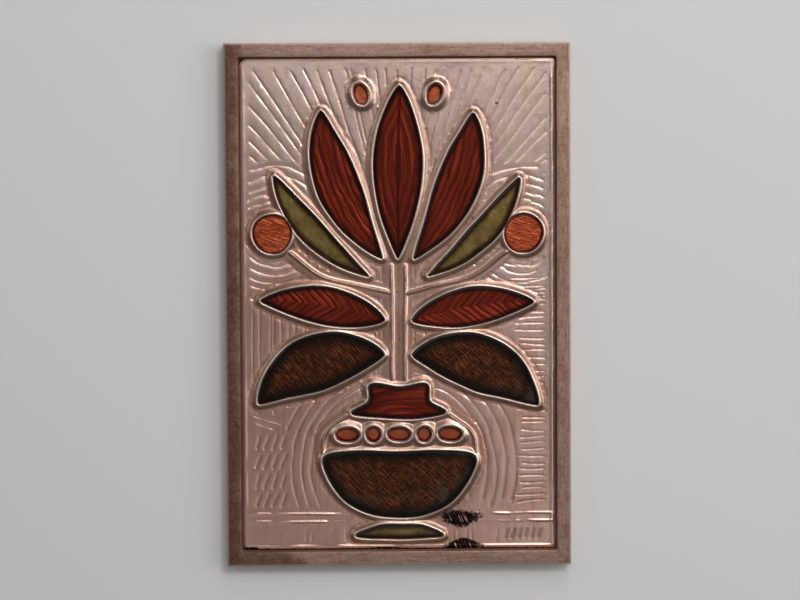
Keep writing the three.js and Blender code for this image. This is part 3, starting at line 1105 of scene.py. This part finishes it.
class ReliefTree(Tree):
    """The geometry tree that raises the silver blank's face by its distances from the drawn lines."""

    # How close to a cell's floor counts as inside it, how widely parts run together, how blunt a groove is
    INSIDE = 0.04
    BLEND = 0.12
    BLUNT = 0.007

    def __init__(self, guides: Iterable[str], sizes: Iterable[str]) -> None:
        """Makes the tree's inputs and measures the distances that its parts share.

        Args:
            guides: the names of the inputs for objects to measure from.
            sizes: the names of the inputs for sizes.
        """
        super().__init__(bpy.data.node_groups.new("raise_relief", "GeometryNodeTree"))
        kinds = {"Blank": "NodeSocketGeometry"}
        kinds.update(dict.fromkeys(guides, "NodeSocketObject"))
        kinds.update(dict.fromkeys(sizes, "NodeSocketFloat"))
        for name, kind in kinds.items():
            self.tree.interface.new_socket(name, in_out="INPUT", socket_type=kind)
        self.tree.interface.new_socket("Panel", in_out="OUTPUT", socket_type="NodeSocketGeometry")
        entry = self.node("NodeGroupInput")
        self.given = {name: Socket(self, entry.outputs[name]) for name in kinds}
        self.x, self.y, _ = self.split(self.out("GeometryNodeInputPosition"))
        self.flat = self.joined(self.x, self.y)
        self.hand = self.noise(self.flat, 0.11, 2.0)
        self.broken = 0.35 + 0.95 * self.ramp(self.noise(self.flat, 0.12, 3.0), 0.38, 0.6)
        self.walls, self.rims = self.signed("Walls", "Cells"), self.signed("Rims", "Pools")
        self.ridges, self.table = self.away("Ridges"), self.away("Table")
        self.edge, self.marks = self.away("Edge"), self.away("Marks")
        self.cells = self.math("MINIMUM", self.walls, self.rims)
        self.nearest = self.math("MINIMUM", self.cells, self.ridges - 0.2)
        self.upper = self.ramp(self.y, 66.0, 69.0)

    def away(self, guide: str, element: str = "EDGES") -> Socket:
        """The distance to a guide's edges or faces."""
        target = self.out("GeometryNodeObjectInfo", {}, {"Object": self.given[guide]}, "Geometry")
        inputs = {0: target, "Source Position": self.flat}
        return self.out("GeometryNodeProximity", {"target_element": element}, inputs, "Distance")

    def signed(self, lines: str, floors: str) -> Socket:
        """The distance to outlines, less than nothing inside them."""
        outside = self.math("GREATER_THAN", self.away(floors, "FACES"), self.INSIDE)
        return self.away(lines) * (2.0 * outside - 1.0)

    def bank(self, distance: Socket, kind: str) -> Socket:
        """The height of a wall with a flank on each side of its crest."""
        beyond = self.math("GREATER_THAN", distance, self.given[kind + " Crest"])
        inner, outer = self.given[kind + " Inner Flank"], self.given[kind + " Outer Flank"]
        flank = inner + (outer - inner) * beyond
        return self.given[kind + " Height"] * self.bell(distance, self.given[kind + " Crest"], flank)

    def ridge(self, distance: Socket, kind: str) -> Socket:
        """The height of a ridge along a line."""
        return self.given[kind + " Height"] * self.bell(distance, 0.0, self.given[kind + " Flank"])

    def valley(self, distance: Socket, kind: str) -> Socket:
        """The depth of a groove along a line, blunt at its bottom."""
        blunt = self.math("SQRT", distance * distance + self.BLUNT)
        return self.given[kind + " Depth"] * self.math("EXPONENT", -(blunt / self.given[kind + " Flank"]))

    def raised(self) -> Socket:
        """The height of walls, rims, ridges and table lines, which run into each other."""
        uneven = 0.8 + 0.4 * self.hand
        height = self.bank(self.walls, "Wall") * uneven
        for part in (
            self.bank(self.rims, "Rim") * uneven,
            self.ridge(self.ridges, "Ridge") * uneven,
            self.ridge(self.table, "Table") * self.broken,
        ):
            height = self.math("SMOOTH_MAX", height, part, self.BLEND)
        return height

    def cut(self) -> Socket:
        """The depth of the marks, the hollow line round the raised work, and the strokes clear of both."""
        clear = self.ramp(self.nearest, 1.5, 2.6) * self.ramp(self.edge, 1.0, 2.6)
        clear = clear * self.ramp(self.table, 0.8, 2.8) * self.ramp(self.marks, 1.4, 2.6)
        strength = 0.5 + 0.5 * self.ramp(self.noise(self.flat, 0.2, 2.0), 0.35, 0.55)
        strength = strength * (0.6 + 0.8 * self.hand)
        terrace_gap = self.away("Terraces")
        strokes = self.valley(self.away("Strokes"), "Stroke") * strength * self.ramp(terrace_gap, 1.2, 2.4)
        terraces = self.valley(terrace_gap, "Terrace") * (0.5 + self.hand)
        foot_gap = abs(self.nearest - self.given["Foot Distance"] + 1.2 * (self.hand - 0.5))
        foot_line = self.valley(foot_gap, "Foot") * self.ramp(self.noise(self.flat, 0.5, 2.0), 0.3, 0.5)
        foot_line = foot_line * self.ramp(self.edge, 0.8, 1.6)
        marks = self.valley(self.marks, "Mark") * self.ramp(self.edge, 0.8, 1.2)
        return (strokes + terraces) * clear + foot_line + marks

    def rolled_edge(self) -> tuple[Socket, Socket]:
        """The height of the bead along the edge and the drop outside it, both weaker along the top."""
        quiet = 1.0 - self.upper * (0.9 - 0.004 * self.x)
        bell = self.bell(self.edge, self.given["Edge Distance"], self.given["Edge Flank"])
        bead = self.given["Edge Height"] * bell * self.broken * quiet
        bead = bead * (1.0 - 0.5 * self.ramp(self.x, -30.0, -43.0))
        return bead, 0.1 * self.bell(self.edge, 0.0, 0.3) * quiet

    def ground(self) -> Socket:
        """The unevenness of the ground, fading out at the edge."""
        slow = self.noise(self.flat, 0.045, 1.0) - 0.5
        medium = self.noise(self.flat, 0.2, 2.0) - 0.5
        bands = self.noise(self.joined(self.x * 0.42, self.y * 0.06), 1.0, 3.0) - 0.5
        swell = slow + 0.45 * medium + 0.4 * bands
        return self.given["Unevenness"] * swell * self.ramp(self.edge, 0.5, 4.0)

    def finish(self, material: bpy.types.Material) -> None:
        """Raises the face, notes what its finish reads, and ends the tree.

        Args:
            material: the finish of the result.
        """
        raised, cut = self.raised(), self.cut()
        bead, turned = self.rolled_edge()
        sunk = 0.28 * self.ramp(self.cells, 0.08, -0.15)
        sunk = sunk + (CELL_DEPTH + raised) * self.ramp(self.cells, -0.3, -0.6)
        height = raised - cut + bead - turned + self.ground() - sunk
        on_face = self.out("GeometryNodeInputNamedAttribute", {}, {"Name": "face"}, "Attribute")
        inputs = {"Geometry": self.given["Blank"], "Offset": self.joined(0.0, 0.0, height * on_face)}
        kept = self.out("GeometryNodeSetPosition", {}, inputs)
        # Browning of the silver: patina with painted shade at the foot of the walls and in the cut lines,
        # painted shade along the panel's edge and next to the enamel, and a painted shadow of the frame's
        # top bar along the top edge
        foot = 0.85 * self.bell(self.nearest, 1.55, 0.7) + 0.9 * self.ramp(self.edge, 0.4, 0.1)
        foot = foot + 1.4 * self.upper * self.ramp(self.edge, 0.6, 0.3)
        settings = {"data_type": "FLOAT", "domain": "POINT"}
        for name, value in (
            ("recess", self.clamp(foot + 1.6 * cut + self.ramp(self.nearest, 0.25, 0.0))),
            ("crest", self.clamp(2.4 * (raised + bead))),
            ("near_wall", self.bell(self.cells, 1.2, 3.6)),
        ):
            inputs = {0: kept, "Name": name, "Value": value}
            kept = self.out("GeometryNodeStoreNamedAttribute", settings, inputs)
        metres = self.out("GeometryNodeTransform", {}, {0: kept, "Scale": (MM, MM, MM)})
        real = self.out("GeometryNodeRealizeInstances", {}, {0: metres})
        done = self.out("GeometryNodeSetMaterial", {}, {0: real, "Material": material})
        self.node("NodeGroupOutput", {}, {0: done})


@dataclass
class ReliefPanel:
    """The silver sheet: a blank whose face a geometry tree raises by its distance from the drawn lines."""

    width: float = 90.0
    length: float = 141.0
    corner_left: float = 2.1
    corner_right: float = 0.9
    grid: float = 0.17
    most_triangles: int = 196000
    sizes: dict = field(default_factory=lambda: {
        "Wall Height": 0.95,
        "Wall Crest": 0.42,
        "Wall Inner Flank": 0.32,
        "Wall Outer Flank": 0.88,
        "Rim Height": 1.06,
        "Rim Crest": 0.74,
        "Rim Inner Flank": 0.46,
        "Rim Outer Flank": 1.3,
        "Ridge Height": 0.72,
        "Ridge Flank": 0.56,
        "Table Height": 0.26,
        "Table Flank": 0.36,
        "Stroke Depth": 0.18,
        "Stroke Flank": 0.2,
        "Terrace Depth": 0.2,
        "Terrace Flank": 0.27,
        "Mark Depth": 0.24,
        "Mark Flank": 0.3,
        "Foot Depth": 0.13,
        "Foot Distance": 2.5,
        "Foot Flank": 0.4,
        "Edge Height": 0.2,
        "Edge Distance": 0.9,
        "Edge Flank": 0.4,
        "Unevenness": 0.22,
    })

    def blank(self) -> bpy.types.Mesh:
        """The closed plate before it is worked, in millimetres.

        Returns:
            A mesh whose face points carry the attribute "face", and whose corners are rounded.
        """
        across, along = int(self.width / self.grid) + 1, int(self.length / self.grid) + 1
        x, y = np.meshgrid(
            np.linspace(-self.width / 2, self.width / 2, across),
            np.linspace(-self.length / 2, self.length / 2, along),
        )
        x, y = self.rounded(x.ravel(), y.ravel())
        index = np.arange(across * along).reshape(along, across)
        quads = np.stack([index[:-1, :-1], index[:-1, 1:], index[1:, 1:], index[1:, :-1]], axis=-1)
        border = np.concatenate([index[0, :-1], index[:-1, -1], index[-1, :0:-1], index[:0:-1, 0]])
        count, face_count = len(border), across * along
        low = face_count + np.arange(count)
        sides = np.stack([low, np.roll(low, -1), np.roll(border, -1), border], axis=-1)
        centre = face_count + count
        floor = np.stack([np.roll(low, -1), low, np.full(count, centre)], axis=-1)
        points = np.vstack([
            np.column_stack([x, y, np.full(face_count, GROUND)]),
            np.column_stack([x[border], y[border], np.full(count, TRAY_FLOOR)]),
            [[0, 0, TRAY_FLOOR]],
        ])
        faces = [*quads.reshape(-1, 4).tolist(), *sides.tolist(), *floor.tolist()]
        mesh = make_mesh("silver_blank", points, faces)
        note(mesh, "face", np.arange(len(points)) < face_count)
        return mesh

    def rounded(self, x: np.ndarray, y: np.ndarray) -> tuple[np.ndarray, np.ndarray]:
        """Draws the points of each square corner into a quarter circle."""
        radius = np.where(x < 0, self.corner_left, self.corner_right)
        u = np.clip((abs(x) - self.width / 2 + radius) / radius, 0, 1)
        v = np.clip((abs(y) - self.length / 2 + radius) / radius, 0, 1)
        both = (u > 0) & (v > 0)
        new_x = np.sign(x) * (self.width / 2 - radius + radius * u * np.sqrt(1 - v**2 / 2))
        new_y = np.sign(y) * (self.length / 2 - radius + radius * v * np.sqrt(1 - u**2 / 2))
        return np.where(both, new_x, x), np.where(both, new_y, y)

    def outline(self) -> np.ndarray:
        """The panel's outline, anticlockwise."""
        loops = []
        for quarter, (sx, sy) in enumerate(((1, 1), (-1, 1), (-1, -1), (1, -1))):
            radius = self.corner_right if sx > 0 else self.corner_left
            turn = (quarter + np.linspace(0, 1, 12)) * np.pi / 2
            x = sx * (self.width / 2 - radius) + radius * np.cos(turn)
            y = sy * (self.length / 2 - radius) + radius * np.sin(turn)
            loops.append(np.stack([x, y], axis=1))
        return np.vstack(loops)

    def guides(self, picture: Bouquet, cells: Sequence[Cell],
               strokes: ChasedStrokes) -> dict[str, bpy.types.Object]:
        """The objects that the relief is measured from.

        Args:
            picture: the drawn picture.
            cells: its enamelled cells.
            strokes: the chased strokes of the ground.

        Returns:
            The objects, by the names of the tree's inputs.
        """
        walls = [cell.outline for cell in cells if not cell.pool]
        rims = [cell.outline for cell in cells if cell.pool]
        return {
            "Walls": lines_object("guide_walls", walls, True),
            "Cells": self.floors("guide_cells", walls),
            "Rims": lines_object("guide_rims", rims, True),
            "Pools": self.floors("guide_pools", rims),
            "Ridges": lines_object("guide_ridges", picture.ridges(), False),
            "Table": lines_object("guide_table", picture.table_lines(), False),
            "Edge": lines_object("guide_edge", [self.outline()], True),
            "Strokes": lines_object("guide_strokes", strokes.fine(), False),
            "Terraces": lines_object("guide_terraces", strokes.terraces(picture.fruit), False),
            "Marks": lines_object("guide_marks", strokes.inscription(), False),
        }

    def build(self, picture: Bouquet, cells: Sequence[Cell], material: bpy.types.Material) -> None:
        """Raises the relief and dresses it.

        Args:
            picture: the drawn picture.
            cells: its enamelled cells.
            material: the silver's finish.
        """
        guides = self.guides(picture, cells, ChasedStrokes())
        relief = ReliefTree(guides, self.sizes)
        relief.finish(material)
        blank = place("silver_blank", self.blank())
        raising = blank.modifiers.new("raise", "NODES")
        raising.node_group = relief.tree
        values = {**guides, **self.sizes}
        for item in relief.tree.interface.items_tree:
            if item.in_out == "INPUT" and item.name in values:
                raising[item.identifier] = values[item.name]
        thinning = blank.modifiers.new("thin", "DECIMATE")
        triangles = sum(len(p.vertices) - 2 for p in blank.data.polygons)
        thinning.ratio = self.most_triangles / triangles
        graph = bpy.context.evaluated_depsgraph_get()
        mesh = bpy.data.meshes.new_from_object(
            blank.evaluated_get(graph), preserve_all_data_layers=True, depsgraph=graph)
        for thing in (blank, *guides.values()):
            bpy.data.objects.remove(thing)
        shade(mesh, 75)
        dress(place("silver_panel", mesh), material, ["panel"])

    @staticmethod
    def floors(name: str, loops: Sequence[np.ndarray]) -> bpy.types.Object:
        """Flat filled shapes of closed outlines, to tell inside from outside."""
        points, faces = [], []
        for loop in loops:
            first = len(points)
            points.extend((x, y, 0.0) for x, y in loop)
            faces.append(tuple(range(first, first + len(loop))))
        return place(name, make_mesh(name, points, faces))


@dataclass
class TrayFrame:
    """The flat-faced frame: a tray with sharp outer corners and a softly rounded inner lip."""

    width: float = 99.0
    length: float = 150.0
    face: float = 4.0
    groove: float = 0.44
    foot_round: float = 0.2
    outer_round: float = 0.3
    lip_round: float = 0.25
    round_steps: int = 4
    dirt: float = 3.35
    sharp_corner: float = 0.12
    tray_corner: float = 0.6
    corner_steps: int = 5
    side_steps: int = 61

    def profile(self) -> list[Point]:
        """The section from the underside to the tray's floor: distances in from the outside, and heights."""
        quarter = np.linspace(0, np.pi / 2, self.round_steps + 1)
        turns = [(1 - math.cos(angle), 1 - math.sin(angle)) for angle in quarter]
        top, groove = FRAME_TOP, self.face + self.groove
        foot = [(self.foot_round, 0.0), (0.0, self.foot_round)]
        outer = [(self.outer_round * across, top - self.outer_round * down) for across, down in turns]
        middle = [(self.face * share, top) for share in (0.3, 0.5, 0.7)]
        lip = [(self.face - self.lip_round * across, top - self.lip_round * down) for down, across in turns]
        ledge = [
            (self.face, self.dirt),
            (self.face + self.groove / 2, self.dirt - 0.1),
            (groove, self.dirt - 0.05),
            (groove, TRAY_FLOOR),
        ]
        return [*foot, *outer, *middle, *lip, *ledge]

    def loop(self, inset: float) -> np.ndarray:
        """A rectangle drawn in by a distance, its corners rounding off towards the tray."""
        radius = max(self.sharp_corner, self.tray_corner * min(inset / self.face, 1.0))
        half = np.array([self.width / 2 - inset, self.length / 2 - inset])
        arcs = []
        for quarter, signs in enumerate(((1, 1), (-1, 1), (-1, -1), (1, -1))):
            turn = (quarter + np.linspace(0, 1, self.corner_steps + 1)) * np.pi / 2
            centre = np.array(signs) * (half - radius)
            arcs.append(centre + radius * np.stack([np.cos(turn), np.sin(turn)], axis=1))
        share = np.linspace(0, 1, self.side_steps + 1)[1:-1, None]
        sides = []
        for arc, following in zip(arcs, arcs[1:] + arcs[:1]):
            sides += [arc, arc[-1] + (following[0] - arc[-1]) * share]
        return np.vstack(sides)

    @staticmethod
    def worn(points: np.ndarray) -> np.ndarray:
        """How far handling has lowered each point of the face; below the face it is nothing."""
        waves = np.array([
            0.035 * noise.noise(Vector((x / 7, y / 7, z))) + 0.012 * noise.noise(Vector((x, y, z + 4)))
            for x, y, z in points
        ])
        return np.where(points[:, 2] > FRAME_TOP - 0.05, 0.03 - waves, 0.0)

    def dirty(self, points: np.ndarray) -> np.ndarray:
        """How deep each point lies in the grime of the groove, from 0 to 1."""
        depth = np.clip((FRAME_TOP - 0.25 - points[:, 2]) / 0.9, 0, 1)
        reach = np.array([self.width, self.length]) / 2 - self.face + 0.1
        in_tray = (abs(points[:, :2]) < reach).all(axis=1) & (points[:, 2] > TRAY_FLOOR / 2)
        return np.where(in_tray, depth, 0.0)

    def build(self, material: bpy.types.Material) -> None:
        """Makes the tray and dresses it."""
        loops = []
        for inset, z in self.profile():
            flat = self.loop(inset)
            loops.append(np.column_stack([flat, np.full(len(flat), z)]))
        points = np.vstack([*loops, [[0, 0, 0]], [[0, 0, TRAY_FLOOR]]])
        points[:, 2] -= self.worn(points)
        count, last = len(loops[0]), (len(loops) - 1) * len(loops[0])
        bottom, floor = last + count, last + count + 1
        round_loop = [(i, (i + 1) % count) for i in range(count)]
        faces = [
            (first + a, first + b, first + b + count, first + a + count)
            for first in range(0, last, count)
            for a, b in round_loop
        ]
        faces += [(b, a, bottom) for a, b in round_loop]
        faces += [(last + a, last + b, floor) for a, b in round_loop]
        mesh = make_mesh("tray_frame", points, faces)
        note(mesh, "deep", self.dirty(points))
        mesh.transform(Matrix.Scale(MM, 4))
        shade(mesh, 50)
        dress(place("tray_frame", mesh), material, ["frame"])


@dataclass(frozen=True)
class PaleFloor(Finish):
    """The plain pale surface that the plaque lies on."""

    name: str = "pale_floor"

    def fill(self, tree: Tree, place_mm: Socket, shader: bpy.types.Node) -> None:
        """Fills the shader's sockets."""
        self.put(tree, shader, Base_Color=(0.88, 0.87, 0.85), Roughness=0.7)


@dataclass(frozen=True)
class Softbox:
    """A square light that looks at the plaque.

    Its size is the length of its side, and its brightness is measured against a white floor in full light.
    """

    name: str
    at: Position
    size: float
    brightness: float

    def build(self) -> None:
        """Makes the light."""
        light = bpy.data.lights.new(self.name, "AREA")
        light.size, light.energy = self.size, self.brightness * math.pi * self.size**2
        holder = bpy.data.objects.new(self.name, light)
        holder.location = self.at
        holder.rotation_euler = (-Vector(self.at)).to_track_quat("-Z", "Y").to_euler()
        bpy.context.scene.collection.objects.link(holder)


@dataclass
class Studio:
    """The floor, the lights and the camera, in metres."""

    floor_size: float = 6.0
    camera_place: Position = (-0.0085, 0.0367, 0.699)
    camera_target: Position = (0.0005, 0.0015, 0.005)
    camera_roll: float = -0.298
    lens: float = 109.12
    world_grey: float = 0.09
    lights: tuple[Softbox, ...] = (
        Softbox("key", (0.32, 0.62, 0.82), 0.6, 1.72),
        Softbox("near", (-0.01, 0.24, 0.6), 0.27, 0.93),
        Softbox("low", (-0.12, -0.34, 0.64), 0.46, 0.25),
        Softbox("lamp", (0.34, 0.44, 0.9), 0.14, 20.0),
        Softbox("right", (1.05, 0.2, 0.7), 0.8, 2.1),
        Softbox("top", (0.12, 1.0, 0.56), 0.3, 4.0),
        Softbox("left", (-0.95, 0.45, 0.8), 0.8, 0.75),
        Softbox("side", (0.175, -0.13, 0.6), 0.22, 0.6),
    )

    def build(self) -> None:
        """Makes the floor, the lights and the camera."""
        half = self.floor_size / 2
        corners = [(-half, -half, 0), (half, -half, 0), (half, half, 0), (-half, half, 0)]
        floor = place("floor", make_mesh("floor", corners, [(0, 1, 2, 3)]))
        floor.data.materials.append(PaleFloor().build())
        for light in self.lights:
            light.build()
        world = bpy.data.worlds.new("studio")
        world.use_nodes = True
        grey = (self.world_grey, self.world_grey, self.world_grey, 1.0)
        world.node_tree.nodes["Background"].inputs["Color"].default_value = grey
        bpy.context.scene.world = world
        bpy.context.scene.view_settings.view_transform = "Standard"
        self.camera()

    def camera(self) -> None:
        """The camera, at the photograph's place over the plaque, with the picture's top upwards."""
        camera = bpy.data.cameras.new("camera")
        camera.lens, camera.sensor_width = self.lens, 36.0
        camera.clip_start, camera.clip_end = 0.01, 20.0
        holder = bpy.data.objects.new("camera", camera)
        back = (Vector(self.camera_place) - Vector(self.camera_target)).normalized()
        right = Vector((0, 1, 0)).cross(back).normalized()
        upright = Matrix((right, back.cross(right), back)).transposed()
        roll = Matrix.Rotation(math.radians(self.camera_roll), 3, "Z")
        holder.matrix_world = Matrix.LocRotScale(self.camera_place, (upright @ roll).to_quaternion(), None)
        bpy.context.scene.collection.objects.link(holder)
        bpy.context.scene.camera = holder


def main() -> None:
    """Builds the studio and every piece of the plaque."""
    logging.basicConfig(level=logging.INFO, format="%(name)s: %(message)s")
    Studio().build()
    picture = Bouquet()
    cells = picture.cells()
    TrayFrame().build(AgedFrame().build())
    enameller = Enameller()
    for cell in cells:
        enameller.fill(cell)
    ReliefPanel().build(picture, cells, WorkedSilver().build())


if __name__ == "__main__":
    main()
